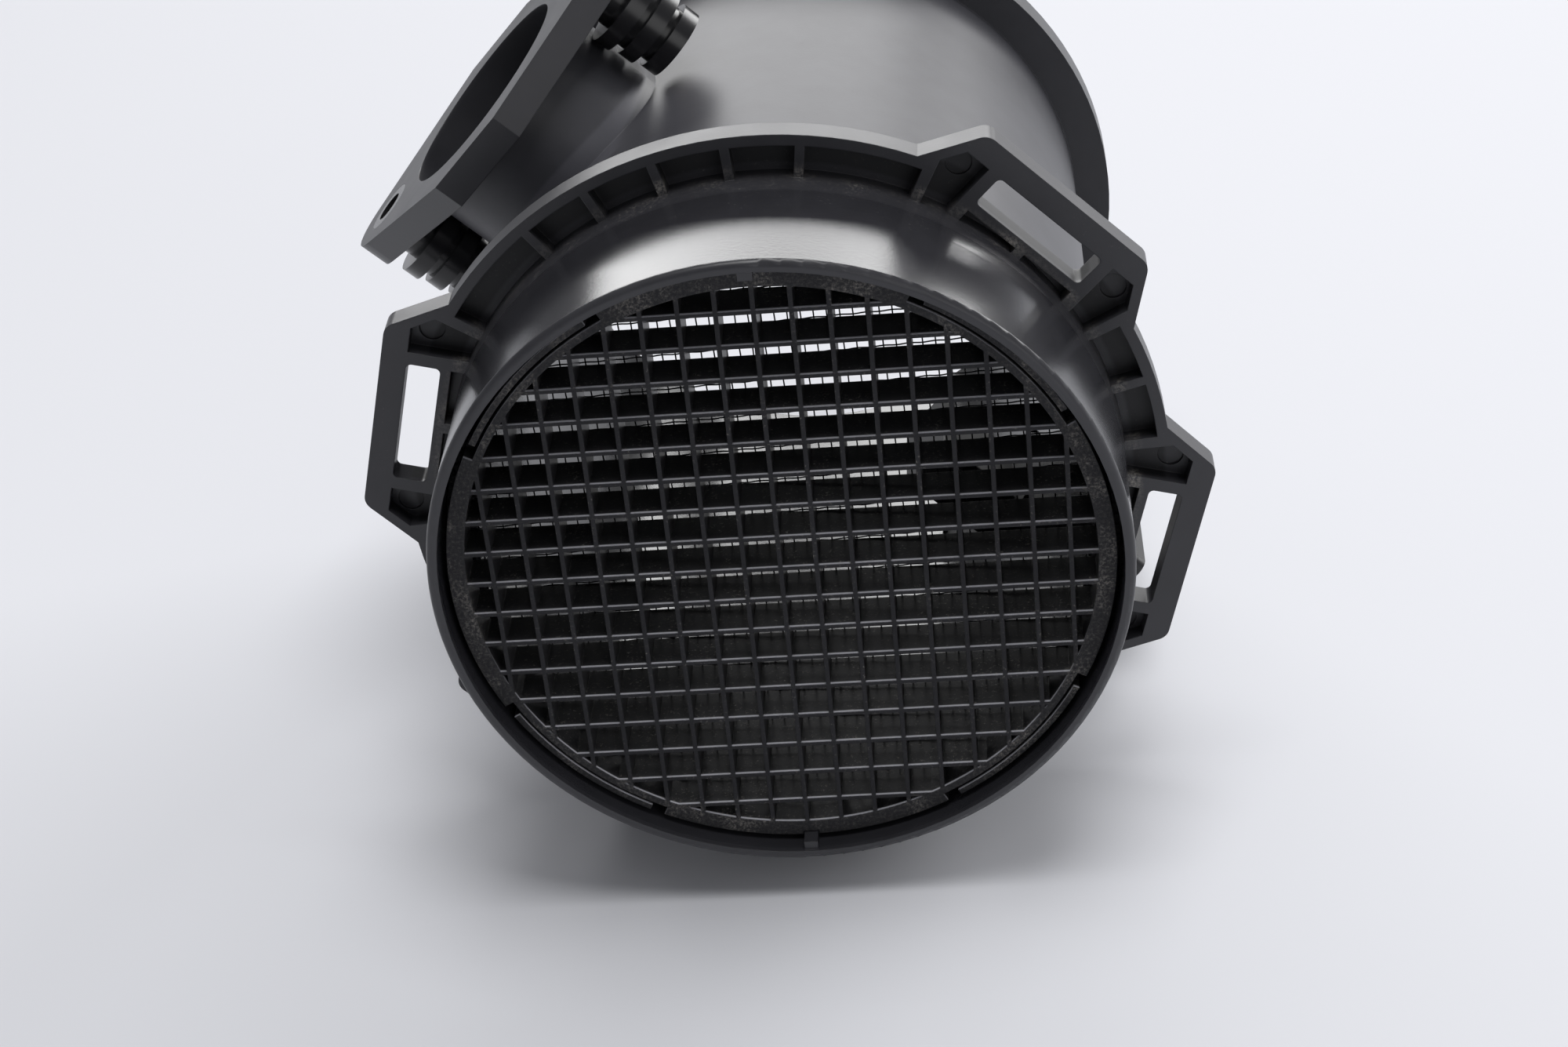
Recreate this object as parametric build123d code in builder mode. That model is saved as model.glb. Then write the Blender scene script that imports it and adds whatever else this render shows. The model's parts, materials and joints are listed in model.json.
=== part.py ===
from build123d import *
import os
from math import asin, cos, radians, sin, tan

# Mass airflow sensor: a moulded duct with a clip flange, an inlet grille over a wire mesh,
# a two-bolt side port and a plug-in hot-film module. Millimetres.
# The duct's axis is Y and air flows towards +Y. The origin is on that axis, at the inner end
# of the inlet collar's straight land, which plugs into the air cleaner.

# Air path
bore_r = 43.0
tube_wall = 3.0
tube_len = 95.5  # from the front of the clip flange to the outlet
mouth_step = 4.2
lip_wall = 1.55
lip_round = 0.9
collar_land = 17.85
cove_len = 7.0
cove_flare = 0.15
outlet_step = 5.7
outlet_rim_len = 5.5
outlet_fillet = 4.0
outlet_chamfer = 2.0

# Clip flange and its four lugs
rim_band = 6.3
rim_wall = 1.6
flange_depth = 4.0
web = 1.2
rib_wall = 1.3
rib_step = 11.0
lug_angles = (45, 165, 225, 345)
lug_half = 14.8
lug_root_half = 20.0
lug_round = 2.2
lug_bar = 3.7
slot_inset = 2.5
slot_width = 4.9
slot_len = 19.0
slot_round = 0.8
groove_gap = 1.5
groove_rib = 1.6
end_wall = 1.9
end_rib = 1.5
mark_r = 1.85
mark_depth = 0.4
mark_in = 2.8
mark_out = 3.0

# Side port
port_angle = 136
port_setback = 50.0  # from the front of the clip flange
port_bore_r = 16.5
port_wall = 1.5
port_flange = 4.8
port_edge = 4.0
port_flat = 14.5
lobe_wall = 3.3

# Ribbed inserts and their nuts
nut_bore_r = 2.5
nut_wall = 0.8
nut_recess = 2.0
spigot_wall = 0.9
insert_shoulder = 2.5
insert_neck = 2.6
insert_rib = 2.6
insert_groove = 1.4
insert_step = 0.6
insert_groove_depth = 1.0

# Grille, mesh and ring in the mouth
grille_set = 2.85
grille_gap = 0.95
grille_depth = 6.2
ring_ledge = 0.75
cell = 5.0
bar = 0.65
arm_half = 17.0
arm_gap = 0.45
arm_wall = 0.9
arm_depth = 3.0
arm_end = 2.2
key_width = 2.0
key_bite = 0.4
key_set = 0.4
key_angle = 90.5
mesh_wall = 0.5
mesh_gap = 5.9
mesh_pitch = 7.5
mesh_rim = 1.5
ring_depth = 1.4

# Plug-in sensor module
module_angle = 315
module_setback = 44.0  # from the front of the clip flange
pad_rise = 5.0
pad_margin = 0.6
plate_edge = 1.4
plate_t = 3.2
plate_round = 4.0
plug_r = 11.6
plug_depth = 9.0
seal_wire = 1.8
seal_squeeze = 0.4
seal_drop = 4.0
finger_w = 9.0
finger_l = 17.0
finger_root = 1.0
finger_round = 2.0
cover_t = 1.2
cover_edge = 1.2
passage_floor = -0.5
passage_h = 4.5
passage_base = 2.0
riser_w = 5.5
exit_rise = 1.5
exit_h = 4.0
carrier_w = 2.5
carrier_t = 0.5
carrier_x = -3.7
carrier_tail = 1.0
chip_w = 2.0
chip_l = 2.0
chip_t = 0.3
bead_r = 1.2
bead_drop = 8.0
lead_r = 0.35
tray_inset = 1.0
tray_l = 31.0
tray_h = 7.0
tray_wall = 1.8
lid_t = 1.5
lid_lip = 1.2
heat_t = 1.2
board_t = 1.0
board_edge = 0.9
shroud_h = 12.0
shroud_sink = 1.0
shroud_len = 22.5
shroud_wall = 1.6
shroud_back = 4.5
pin_side = 0.7
pin_pitch = 2.4
pin_count = 5
pin_out = 13.0
pin_in = 1.2
pin_margin = 0.4
screw_inset = 3.8
screw_edge = 6.0
screw_r = 1.9
screw_shoulder = 1.5
screw_head = 2.6
screw_socket = 2.5
bush_wall = 1.1
bush_len = 6.5

# Clearances
slide_gap = 0.15
fit_gap = 0.05
plug_gap = 0.35
head_gap = 1.6
shroud_gap = 1.8
insert_air = 0.2
insert_clear = 1.6

# Worked-out values
tube_r = bore_r + tube_wall
mouth_r = bore_r + mouth_step
collar_r = mouth_r + lip_wall
root_r = collar_r + cove_flare
outlet_r = tube_r + outlet_step
rim_r = root_r + rim_band
slot_inner = root_r + slot_inset
slot_outer = slot_inner + slot_width
lug_reach = slot_outer + lug_bar
lug_sector = asin(lug_root_half / rim_r) - rib_wall / rim_r
end_sector = lug_sector - end_rib / root_r
flange_front = cove_len
flange_back = flange_front + flange_depth
tube_end = flange_front + tube_len
outlet_start = tube_end - outlet_rim_len
pocket_depth = flange_depth - web
grille_front = grille_set - collar_land
grille_r = mouth_r - grille_gap
ring_r = mouth_r - slide_gap
mesh_front = grille_front + grille_depth
ring_front = mesh_front + mesh_wall
mouth_seat = ring_front + ring_depth
grille_open_r = bore_r + ring_ledge
bar_count = 2 * int(grille_open_r / cell) + 1
nut_r = nut_bore_r + nut_wall
insert_hole_r = nut_r + spigot_wall + 2 * fit_gap
insert_r = insert_hole_r + insert_shoulder
insert_ribs = [port_flange + insert_neck + k * (insert_rib + insert_groove) for k in range(3)]
insert_end = insert_ribs[-1] + insert_rib
port_neck_r = port_bore_r + port_wall
port_bolt_pitch = 2 * (port_neck_r + insert_air + insert_r)
port_face = (tube_r**2 - (port_neck_r + insert_air) ** 2) ** 0.5 + insert_clear + insert_end
pad_face = tube_r + pad_rise
plug_hole_r = plug_r + plug_gap
plate_w = 2 * (plug_r + plate_edge)
tray_w = plate_w - 2 * tray_inset
screw_head_r = screw_r + screw_shoulder
screw_x = plate_w / 2 - screw_inset
screw_y = tray_l / 2 + head_gap + screw_head_r
plate_l = 2 * (screw_y + screw_edge)
bush_r = screw_r + bush_wall
shroud_w = pin_count * pin_pitch + 2 * pin_margin + 2 * shroud_wall
shroud_x = shroud_w / 2 + shroud_gap + screw_head_r - screw_x
rib_angles = [105 + rib_step * k for k in range(-2, 3)]
rib_angles += [285 + rib_step * k for k in range(-2, 3)]
rib_angles += [15, 195]


def turned(angle):
    """A turn about the duct's axis, seen from the inlet."""
    return Location((0, 0, 0), (0, 0, angle))


def radial_plane(angle, y):
    """Plane on the duct's axis: x across the duct, y along the flow, z outwards."""
    out = (cos(radians(angle)), 0, sin(radians(angle)))
    across = (sin(radians(angle)), 0, -cos(radians(angle)))
    return Plane(origin=(0, y, 0), x_dir=across, z_dir=out)


def flow_plane(y):
    """Plane across the duct at y, seen from the inlet: its normal points upstream."""
    return Plane.XZ.offset(-y)


port = radial_plane(port_angle, flange_front + port_setback)
module = radial_plane(module_angle, flange_front + module_setback)
# The module's side view: x along the flow, y outwards, z across the duct.
module_side = Plane(origin=module.origin, x_dir=module.y_dir, z_dir=module.x_dir)
port_bolts = [(-port_bolt_pitch / 2, 0), (port_bolt_pitch / 2, 0)]
screw_points = [(-screw_x, screw_y), (screw_x, -screw_y)]
arm_angles = (45, 135, 225, 315)
key_angles = (key_angle, key_angle + 180)

# The outline of a lug, with its root on the rim, and the pockets at its ends.
lug_root = (rim_r**2 - lug_root_half**2) ** 0.5
lug_outline = [
    (root_r, -lug_root_half),
    (lug_root, -lug_root_half),
    (lug_reach, -lug_half),
    (lug_reach, lug_half),
    (lug_root, lug_root_half),
    (root_r, lug_root_half),
]
end_start = slot_len / 2 + end_wall
with BuildSketch() as end_pockets:
    Polygon(*[(r if r > root_r else bore_r, t) for r, t in lug_outline], align=None)
    offset(amount=-end_rib, mode=Mode.REPLACE)
    spread = slot_outer * tan(end_sector)
    Polygon((0, 0), (slot_outer, -spread), (slot_outer, spread), align=None, mode=Mode.INTERSECT)
    Rectangle(2 * lug_reach, 2 * end_start, mode=Mode.SUBTRACT)
    Circle(root_r, mode=Mode.SUBTRACT)

# The two grooves between a slot and the collar: straight outside, round inside.
with BuildSketch() as slot_grooves:
    with Locations((slot_inner - groove_gap - bore_r / 2, 0)):
        Rectangle(bore_r, slot_len)
        Rectangle(bore_r, groove_rib, mode=Mode.SUBTRACT)
    Circle(root_r, mode=Mode.SUBTRACT)


# Housing: one moulding.
with BuildPart() as housing:
    # The duct's wall, the solid disc of the clip flange and the outlet rim.
    with BuildSketch(Plane.XY) as wall_section:
        with BuildLine():
            Polyline(
                (mouth_r, -collar_land),
                (collar_r, -collar_land),
                (collar_r, 0),
                (root_r, flange_front),
                (rim_r, flange_front),
                (rim_r, flange_back),
                (tube_r, flange_back),
                (tube_r, outlet_start),
                (outlet_r, outlet_start),
                (outlet_r, tube_end),
                (bore_r, tube_end),
                (bore_r, mouth_seat),
                (mouth_r, mouth_seat),
                close=True,
            )
        make_face()
        corners = wall_section.vertices()
        fillet(corners.sort_by_distance((collar_r, -collar_land))[0], lip_round)
        fillet(corners.sort_by_distance((tube_r, outlet_start))[0], outlet_fillet)
        chamfer(corners.sort_by_distance((bore_r, tube_end))[0], outlet_chamfer)
    revolve(axis=Axis.Y)
    # Four lugs for the spring clips.
    with BuildSketch(flow_plane(flange_front)) as lugs:
        for angle in lug_angles:
            with Locations(turned(angle)):
                Polygon(*lug_outline, align=None)
        tips = lugs.vertices().filter_by(lambda v: (v.X**2 + v.Y**2) ** 0.5 > lug_reach)
        fillet(tips, lug_round)
    extrude(amount=-flange_depth)
    # Neck and two-bolt flange of the side port.
    with BuildSketch(port.offset(bore_r / 2)):
        Circle(port_neck_r)
    extrude(amount=port_face - bore_r / 2 - port_flange / 2)
    with BuildSketch(port.offset(port_face - port_flange)) as port_outline:
        with Locations(*port_bolts):
            Circle(insert_hole_r + lobe_wall)
        Rectangle(port_flat, 2 * (port_neck_r + port_edge))
        make_hull()
    extrude(amount=port_flange)
    # Pad that the sensor module seats on.
    with BuildSketch(module.offset(bore_r / 2)):
        RectangleRounded(plate_w + 2 * pad_margin, plate_l + 2 * pad_margin, plate_round)
    extrude(amount=pad_face - bore_r / 2)
    # Clear bore, port and plug hole.
    with BuildSketch(flow_plane(tube_end)):
        Circle(bore_r)
    extrude(amount=tube_end - mouth_seat, mode=Mode.SUBTRACT)
    with BuildSketch(port):
        Circle(port_bore_r)
    extrude(amount=port_face, mode=Mode.SUBTRACT)
    with BuildSketch(module):
        Circle(plug_hole_r)
    extrude(amount=pad_face, mode=Mode.SUBTRACT)
    # Clip slots right through the lugs.
    with BuildSketch(flow_plane(flange_front)):
        for angle in lug_angles:
            with Locations(turned(angle) * Location((slot_inner + slot_width / 2, 0, 0))):
                RectangleRounded(slot_width, slot_len, slot_round)
    extrude(amount=-flange_depth, mode=Mode.SUBTRACT)
    # Blind pockets: between the ribs of the rim, at the ends of the lugs and behind the slots.
    with BuildSketch(flow_plane(flange_front)):
        Circle(rim_r - rim_wall)
        Circle(root_r, mode=Mode.SUBTRACT)
        for angle in lug_angles:
            with Locations(turned(angle)):
                spread = lug_reach * tan(lug_sector)
                Polygon((0, 0), (lug_reach, -spread), (lug_reach, spread), align=None,
                        mode=Mode.SUBTRACT)
        for angle in rib_angles:
            with Locations(turned(angle) * Location((rim_r / 2, 0, 0))):
                Rectangle(rim_r, rib_wall, mode=Mode.SUBTRACT)
    extrude(amount=-pocket_depth, mode=Mode.SUBTRACT)
    with BuildSketch(flow_plane(flange_front)):
        for angle in lug_angles:
            with Locations(turned(angle)):
                add(end_pockets.sketch)
                add(slot_grooves.sketch)
    extrude(amount=-pocket_depth, mode=Mode.SUBTRACT)
    # Round ejector marks in the floors of the end pockets.
    mark_points = [(slot_outer - mark_in, side * (end_start + mark_out)) for side in (-1, 1)]
    with BuildSketch(flow_plane(flange_front + pocket_depth)):
        for angle in lug_angles:
            for r, t in mark_points:
                with Locations(turned(angle) * Location((r, t, 0))):
                    Circle(mark_r)
    extrude(amount=-mark_depth, mode=Mode.SUBTRACT)
    # Holes for the ribbed inserts and the screw bushes.
    with BuildSketch(port.offset(port_face - port_flange)):
        with Locations(*port_bolts):
            Circle(insert_hole_r)
    extrude(amount=port_flange, mode=Mode.SUBTRACT)
    with BuildSketch(module.offset(pad_face - bush_len)):
        with Locations(*screw_points):
            Circle(bush_r + fit_gap)
    extrude(amount=bush_len, mode=Mode.SUBTRACT)
    # Two keys inside the lip that place the grille.
    with BuildSketch(flow_plane(key_set - collar_land)):
        for angle in key_angles:
            with Locations(turned(angle) * Location((mouth_r, 0, 0))):
                Rectangle(2 * (grille_gap + key_bite), key_width)
        Circle((mouth_r + collar_r) / 2, mode=Mode.INTERSECT)
    extrude(amount=-(grille_set - key_set + arm_depth))

# Inlet grille: square cells in a round frame.
with BuildPart() as inlet_grille:
    with BuildSketch(flow_plane(grille_front)):
        with GridLocations(cell, 0, bar_count, 1):
            Rectangle(bar, 2 * grille_r)
        with GridLocations(0, cell, 1, bar_count):
            Rectangle(2 * grille_r, bar)
        Circle((grille_open_r + grille_r) / 2, mode=Mode.INTERSECT)
    extrude(amount=-grille_depth)
    with BuildSketch(flow_plane(grille_front)):
        Circle(grille_r)
        Circle(grille_open_r, mode=Mode.SUBTRACT)
    extrude(amount=-grille_depth)
    # Gaps behind the four snap arms, and at the ends of each arm.
    arm_r = grille_r - arm_wall
    with BuildSketch(flow_plane(grille_front)) as arm_slots:
        Circle(arm_r)
        Circle(arm_r - arm_gap, mode=Mode.SUBTRACT)
        with BuildSketch(mode=Mode.INTERSECT):
            for angle in arm_angles:
                with Locations(turned(angle)):
                    spread = mouth_r * tan(radians(arm_half))
                    Polygon((0, 0), (mouth_r, -spread), (mouth_r, spread), align=None)
    extrude(amount=-arm_depth, mode=Mode.SUBTRACT)
    with BuildSketch(flow_plane(grille_front)):
        for angle in arm_angles:
            for side in (-1, 1):
                with Locations(turned(angle + side * arm_half) * Location((grille_r, 0, 0))):
                    Rectangle(2 * (grille_r - arm_r + arm_gap), arm_end)
    extrude(amount=-arm_depth, mode=Mode.SUBTRACT)
    # Notches for the keys of the mouth.
    with BuildSketch(flow_plane(grille_front)):
        for angle in key_angles:
            with Locations(turned(angle) * Location((grille_r, 0, 0))):
                Rectangle(2 * (key_bite + slide_gap), key_width + 2 * slide_gap)
    extrude(amount=-(arm_depth + slide_gap), mode=Mode.SUBTRACT)

# Wire mesh as one thin wall with square gaps.
with BuildPart() as mesh_screen:
    with BuildSketch(flow_plane(mesh_front)):
        Circle(ring_r)
    extrude(amount=-mesh_wall)
    with BuildSketch(flow_plane(mesh_front)):
        reach = grille_open_r - mesh_rim
        rows = int(2 * reach / mesh_pitch)
        for column in range(rows):
            for row in range(rows):
                x = (column - (rows - 1) / 2) * mesh_pitch
                z = (row - (rows - 1) / 2) * mesh_pitch
                corner = ((abs(x) + mesh_gap / 2) ** 2 + (abs(z) + mesh_gap / 2) ** 2) ** 0.5
                if corner < reach:
                    with Locations((x, z)):
                        Rectangle(mesh_gap, mesh_gap)
    extrude(amount=-mesh_wall, mode=Mode.SUBTRACT)

# Ring that backs the mesh on the seat of the mouth.
with BuildPart() as mesh_ring:
    with BuildSketch(flow_plane(ring_front)):
        Circle(ring_r)
        Circle(grille_open_r, mode=Mode.SUBTRACT)
    extrude(amount=-ring_depth)

# Ribbed inserts: a spigot through the port flange, then a neck and three ribs.
bolt_point = port.from_local_coords((port_bolts[1][0], 0, port_face))
insert_plane = Plane(origin=bolt_point, x_dir=port.x_dir, z_dir=port.y_dir)
insert_axis = Axis(bolt_point, port.z_dir)
across_port = Plane(origin=port.origin, x_dir=port.y_dir, z_dir=port.x_dir)
with BuildPart() as port_inserts:
    with BuildSketch(insert_plane) as insert_section:
        with BuildLine():
            Polyline(
                (nut_bore_r, 0),
                (insert_hole_r - fit_gap, 0),
                (insert_hole_r - fit_gap, insert_end),
                (nut_r + fit_gap, insert_end),
                (nut_r + fit_gap, nut_recess),
                (nut_bore_r, nut_recess),
                close=True,
            )
        make_face()
        # Three ribs, each smaller than the one before, on a core that steps down with them.
        for k, start in enumerate(insert_ribs):
            rib_r = insert_r - k * insert_step
            core_r = rib_r - insert_step - insert_groove_depth
            with Locations((nut_r + fit_gap, start)):
                Rectangle(rib_r - nut_r - fit_gap, insert_rib, align=Align.MIN)
                if start < insert_ribs[-1]:
                    core_len = insert_rib + insert_groove
                    Rectangle(core_r - nut_r - fit_gap, core_len, align=Align.MIN)
    revolve(axis=insert_axis)
    mirror(about=across_port)

# Brass nuts in the inserts.
with BuildPart() as port_nuts:
    with BuildSketch(port.offset(port_face - insert_end)):
        with Locations(*port_bolts):
            Circle(nut_r)
            Circle(nut_bore_r, mode=Mode.SUBTRACT)
    extrude(amount=insert_end - nut_recess)

# Module body: plate, plug, finger, electronics tray and connector shroud, one moulding.
plate_top = pad_face + plate_t
plug_end = pad_face - plug_depth
finger_tip = plug_end - 2 * passage_base - passage_h - exit_rise - exit_h - finger_root
tray_top = plate_top + tray_h
passage_low = finger_tip + passage_base
passage_high = passage_low + passage_h
exit_low = passage_high + exit_rise
exit_high = exit_low + exit_h
cover_seat = finger_w / 2 - cover_t
cover_low = finger_tip + cover_edge
cover_high = exit_high + passage_base
carrier_end = passage_low + passage_h / 4
carrier_high = exit_high + carrier_tail
seal_mid = pad_face - seal_drop
seal_floor = plug_r - seal_wire + seal_squeeze
shroud_z = plate_top + shroud_h / 2 - shroud_sink
shroud_end = tray_l / 2 + shroud_len
socket_back = tray_l / 2 + shroud_back
pin_xs = [shroud_x + pin_pitch * (k - (pin_count - 1) / 2) for k in range(pin_count)]
with BuildPart() as module_body:
    with BuildSketch(module.offset(pad_face)):
        RectangleRounded(plate_w, plate_l, plate_round)
    extrude(amount=plate_t)
    with BuildSketch(module.offset(plug_end)):
        Circle(plug_r)
    extrude(amount=plug_depth)
    with BuildSketch(module.offset(finger_tip)):
        RectangleRounded(finger_w, finger_l, finger_round)
    extrude(amount=plug_end - finger_tip)
    with BuildSketch(module.offset(plate_top)):
        RectangleRounded(tray_w, tray_l, finger_round)
    extrude(amount=tray_h)
    # Groove for the seal.
    with BuildSketch(module.offset(seal_mid - seal_wire / 2)):
        Circle(plug_r + 1)
        Circle(seal_floor, mode=Mode.SUBTRACT)
    extrude(amount=seal_wire, mode=Mode.SUBTRACT)
    # Connector shroud on the end of the tray.
    shroud_plane = Plane(
        origin=module.from_local_coords((shroud_x, 0, shroud_z)),
        x_dir=module.x_dir,
        z_dir=module.y_dir,
    )
    with BuildSketch(shroud_plane.offset(tray_l / 2)):
        RectangleRounded(shroud_w, shroud_h, finger_round)
    extrude(amount=shroud_len)
    with BuildSketch(shroud_plane.offset(socket_back)):
        RectangleRounded(shroud_w - 2 * shroud_wall, shroud_h - 2 * shroud_wall, 1.0)
    extrude(amount=shroud_end - socket_back, mode=Mode.SUBTRACT)
    # Electronics space, open outwards.
    with BuildSketch(module.offset(plate_top)):
        RectangleRounded(tray_w - 2 * tray_wall, tray_l - 2 * tray_wall, 1.0)
    extrude(amount=2 * tray_h, mode=Mode.SUBTRACT)
    # Bypass channel in the finger: in at the front near the tip, up the riser, out at the back.
    with BuildSketch(module_side.offset(passage_floor)):
        with BuildLine():
            Polyline(
                (-finger_l / 2, passage_low),
                (riser_w, passage_low),
                (riser_w, exit_low),
                (finger_l / 2, exit_low),
                (finger_l / 2, exit_high),
                (0, exit_high),
                (0, passage_high),
                (-finger_l / 2, passage_high),
                close=True,
            )
        make_face()
    extrude(amount=cover_seat - passage_floor, mode=Mode.SUBTRACT)
    with BuildSketch(module_side.offset(cover_seat)):
        with Locations((0, (cover_low + cover_high) / 2)):
            Rectangle(finger_l - 2 * cover_edge, cover_high - cover_low)
    extrude(amount=cover_t, mode=Mode.SUBTRACT)
    # Slot that holds the root of the sensor carrier.
    with BuildSketch(module_side.offset(carrier_t)):
        with Locations((carrier_x, (passage_high + carrier_high) / 2)):
            Rectangle(carrier_w + 2 * fit_gap, carrier_high - passage_high)
    extrude(amount=cover_seat - carrier_t, mode=Mode.SUBTRACT)
    # Screw holes, and square holes for the terminal pins.
    with BuildSketch(module.offset(pad_face)):
        with Locations(*screw_points):
            Circle(screw_r + slide_gap)
    extrude(amount=plate_t, mode=Mode.SUBTRACT)
    with BuildSketch(shroud_plane.offset(tray_l / 2 - tray_wall)):
        with Locations(*[(x - shroud_x, 0) for x in pin_xs]):
            Rectangle(pin_side + 2 * fit_gap, pin_side + 2 * fit_gap)
    extrude(amount=tray_wall + shroud_back, mode=Mode.SUBTRACT)

# Square-section seal ring on the plug, between the groove's floor and the plug hole.
with BuildPart() as module_seal:
    with BuildSketch(module.offset(seal_mid - seal_wire / 2 + fit_gap)):
        Circle(plug_hole_r - fit_gap)
        Circle(seal_floor + fit_gap, mode=Mode.SUBTRACT)
    extrude(amount=seal_wire - 2 * fit_gap)

# Screws of the module, with a hexagon socket, and the bushes they turn into.
with BuildPart() as module_screws:
    with BuildSketch(module.offset(pad_face - bush_len)):
        with Locations(*screw_points):
            Circle(screw_r)
    extrude(amount=bush_len + plate_t)
    with BuildSketch(module.offset(plate_top)):
        with Locations(*screw_points):
            Circle(screw_head_r)
    extrude(amount=screw_head)
    with BuildSketch(module.offset(plate_top + screw_head / 3)):
        with Locations(*screw_points):
            RegularPolygon(screw_socket / 2, 6, major_radius=False)
    extrude(amount=screw_head, mode=Mode.SUBTRACT)

with BuildPart() as screw_bushes:
    with BuildSketch(module.offset(pad_face - bush_len)):
        with Locations(*screw_points):
            Circle(bush_r)
            Circle(screw_r + fit_gap, mode=Mode.SUBTRACT)
    extrude(amount=bush_len)

# Cover of the bypass channel.
with BuildPart() as channel_cover:
    with BuildSketch(module_side.offset(cover_seat)):
        with Locations((0, (cover_low + cover_high) / 2)):
            Rectangle(
                finger_l - 2 * cover_edge - 2 * fit_gap,
                cover_high - cover_low - 2 * fit_gap,
            )
    extrude(amount=cover_t)

# Metal tongue in the channel, and the hot-film chip on it.
with BuildPart() as sensor_carrier:
    with BuildSketch(module_side.offset(carrier_t)):
        with Locations((carrier_x, (carrier_end + carrier_high) / 2)):
            Rectangle(carrier_w, carrier_high - carrier_end - fit_gap)
    extrude(amount=carrier_t)

with BuildPart() as sensor_chip:
    with BuildSketch(module_side.offset(2 * carrier_t)):
        with Locations((carrier_x, carrier_end + 0.75 * chip_l)):
            Rectangle(chip_w, chip_l)
    extrude(amount=chip_t)

# Air temperature bead on two leads, upstream of the finger.
lead_y = -(finger_l / 2 + plug_r) / 2
with BuildPart() as air_temperature_bead:
    with BuildSketch(module.offset(plug_end - bead_drop)):
        with Locations((-bead_r / 2, lead_y), (bead_r / 2, lead_y)):
            Circle(lead_r)
    extrude(amount=bead_drop)
    with BuildSketch(module.offset(plug_end - bead_drop - bead_r)):
        with Locations((0, lead_y)):
            Circle(bead_r)
    extrude(amount=2 * bead_r)

# Electronics in the tray: heat plate, board and its parts, under the lid.
board_w = tray_w - 2 * tray_wall - 2 * board_edge
board_l = tray_l - 2 * tray_wall - 2 * board_edge
with BuildPart() as heat_plate:
    with BuildSketch(module.offset(plate_top)):
        RectangleRounded(board_w + board_edge, board_l + board_edge, 1.0)
    extrude(amount=heat_t)

with BuildPart() as circuit_board:
    with BuildSketch(module.offset(plate_top + heat_t)):
        Rectangle(board_w, board_l)
    extrude(amount=board_t)

with BuildPart() as board_parts:
    with BuildSketch(module.offset(plate_top + heat_t + board_t)):
        with Locations((0, -board_l / 5)):
            Rectangle(board_w / 3, board_w / 3)
        with GridLocations(board_w / 5, 0, 4, 1):
            Rectangle(board_w / 12, board_w / 8)
        with Locations((-board_w / 4, board_l / 5), (board_w / 4, board_l / 5)):
            Rectangle(board_w / 4, board_w / 5)
    extrude(amount=1.4 * board_t)

with BuildPart() as tray_cover:
    with BuildSketch(module.offset(tray_top)):
        RectangleRounded(tray_w, tray_l - 2 * fit_gap, finger_round)
    extrude(amount=lid_t)
    with BuildSketch(module.offset(tray_top - lid_lip)):
        RectangleRounded(
            tray_w - 2 * tray_wall - 2 * slide_gap,
            tray_l - 2 * tray_wall - 2 * slide_gap,
            1.0,
        )
    extrude(amount=lid_lip)

# Terminal pins through the wall between the tray and the shroud.
with BuildPart() as connector_pins:
    with BuildSketch(shroud_plane.offset(tray_l / 2 - tray_wall - pin_in)):
        with Locations(*[(x - shroud_x, 0) for x in pin_xs]):
            Rectangle(pin_side, pin_side)
    extrude(amount=pin_in + tray_wall + shroud_back + pin_out)

pieces = {
    "housing": housing,
    "inlet_grille": inlet_grille,
    "mesh_screen": mesh_screen,
    "mesh_ring": mesh_ring,
    "port_inserts": port_inserts,
    "port_nuts": port_nuts,
    "module_body": module_body,
    "module_seal": module_seal,
    "module_screws": module_screws,
    "screw_bushes": screw_bushes,
    "channel_cover": channel_cover,
    "sensor_carrier": sensor_carrier,
    "sensor_chip": sensor_chip,
    "air_temperature_bead": air_temperature_bead,
    "heat_plate": heat_plate,
    "circuit_board": circuit_board,
    "board_parts": board_parts,
    "tray_cover": tray_cover,
    "connector_pins": connector_pins,
}
os.makedirs("parts", exist_ok=True)
for node_name, piece in pieces.items():
    piece.part.label = node_name
    export_step(piece.part, f"parts/{node_name}.step")
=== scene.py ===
# %% [markdown]
# # Mass airflow sensor
# A mass airflow sensor sits between an engine's air cleaner and its intake hose. Air enters
# through the square cells of a moulded grille, passes a fine wire mesh and flows down the
# duct past a hot film, which tells the engine how much air it breathes. The CAD model gives
# every solid piece. This lesson adds what the eye needs: plastics, metals, dust, the woven
# mesh, a floor, lights and a camera.

# %% Tools and the CAD model
import json
import math
from collections import namedtuple

import bpy
from mathutils import Matrix, Vector


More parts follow.
